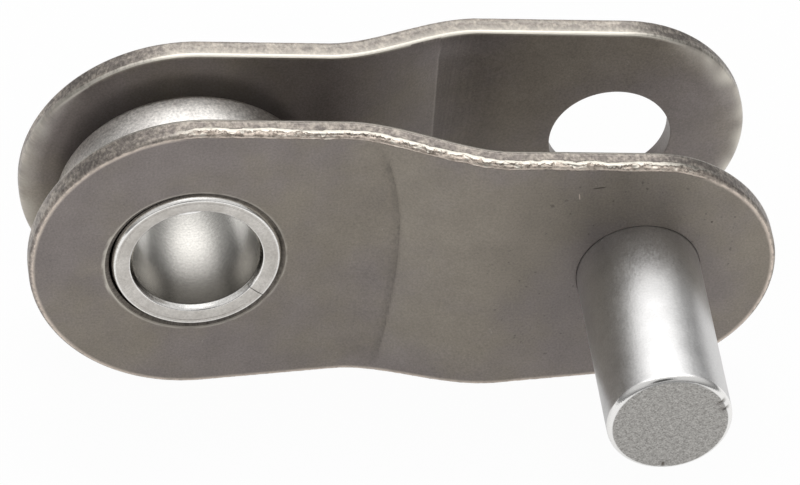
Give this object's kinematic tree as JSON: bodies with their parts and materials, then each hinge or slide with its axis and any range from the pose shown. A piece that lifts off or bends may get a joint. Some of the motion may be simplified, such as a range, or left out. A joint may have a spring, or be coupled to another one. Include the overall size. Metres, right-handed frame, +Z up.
{
  "type": "offset chain link",
  "caption": "Offset link for a narrow roller chain: two cranked side plates, a rolled bushing with a loose roller, and a joining pin standing in the near plate.",
  "frame": {"origin": "centre of the footprint, on the surface that the link stands on with the lower edges of its plates", "axes": "+X along the pitch, from the bushing towards the pin; +Y along both axes, from the near plate, which holds the pin, to the far plate; +Z up"},
  "size_m": [0.0216, 0.0128, 0.0097],
  "materials": {
    "plate_steel": "tumbled, warm grey, satin, with a bright torn shear line along the outer edge",
    "bushing_steel": "bright drawn steel with a fine seam",
    "roller_steel": "matte grey, fine grain",
    "pin_steel": "ground steel, brushed along its length, with a matte end face"
  },
  "bodies": {
    "side_plates": {"near_plate": "plate_steel", "far_plate": "plate_steel", "bushing": "bushing_steel"},
    "roller": {"roller": "roller_steel"},
    "pin": {"pin": "pin_steel"}
  },
  "joints": [
    {"name": "roller_spin", "type": "hinge", "parent": "side_plates", "child": "roller", "pos_m": [-0.00593, 0.00317, 0.00485], "axis": [0, 1, 0], "continuous": true},
    {"name": "pin_slide", "type": "slide", "parent": "side_plates", "child": "pin", "axis": [0, 1, 0], "range_m": [0, 0.00602]}
  ]
}
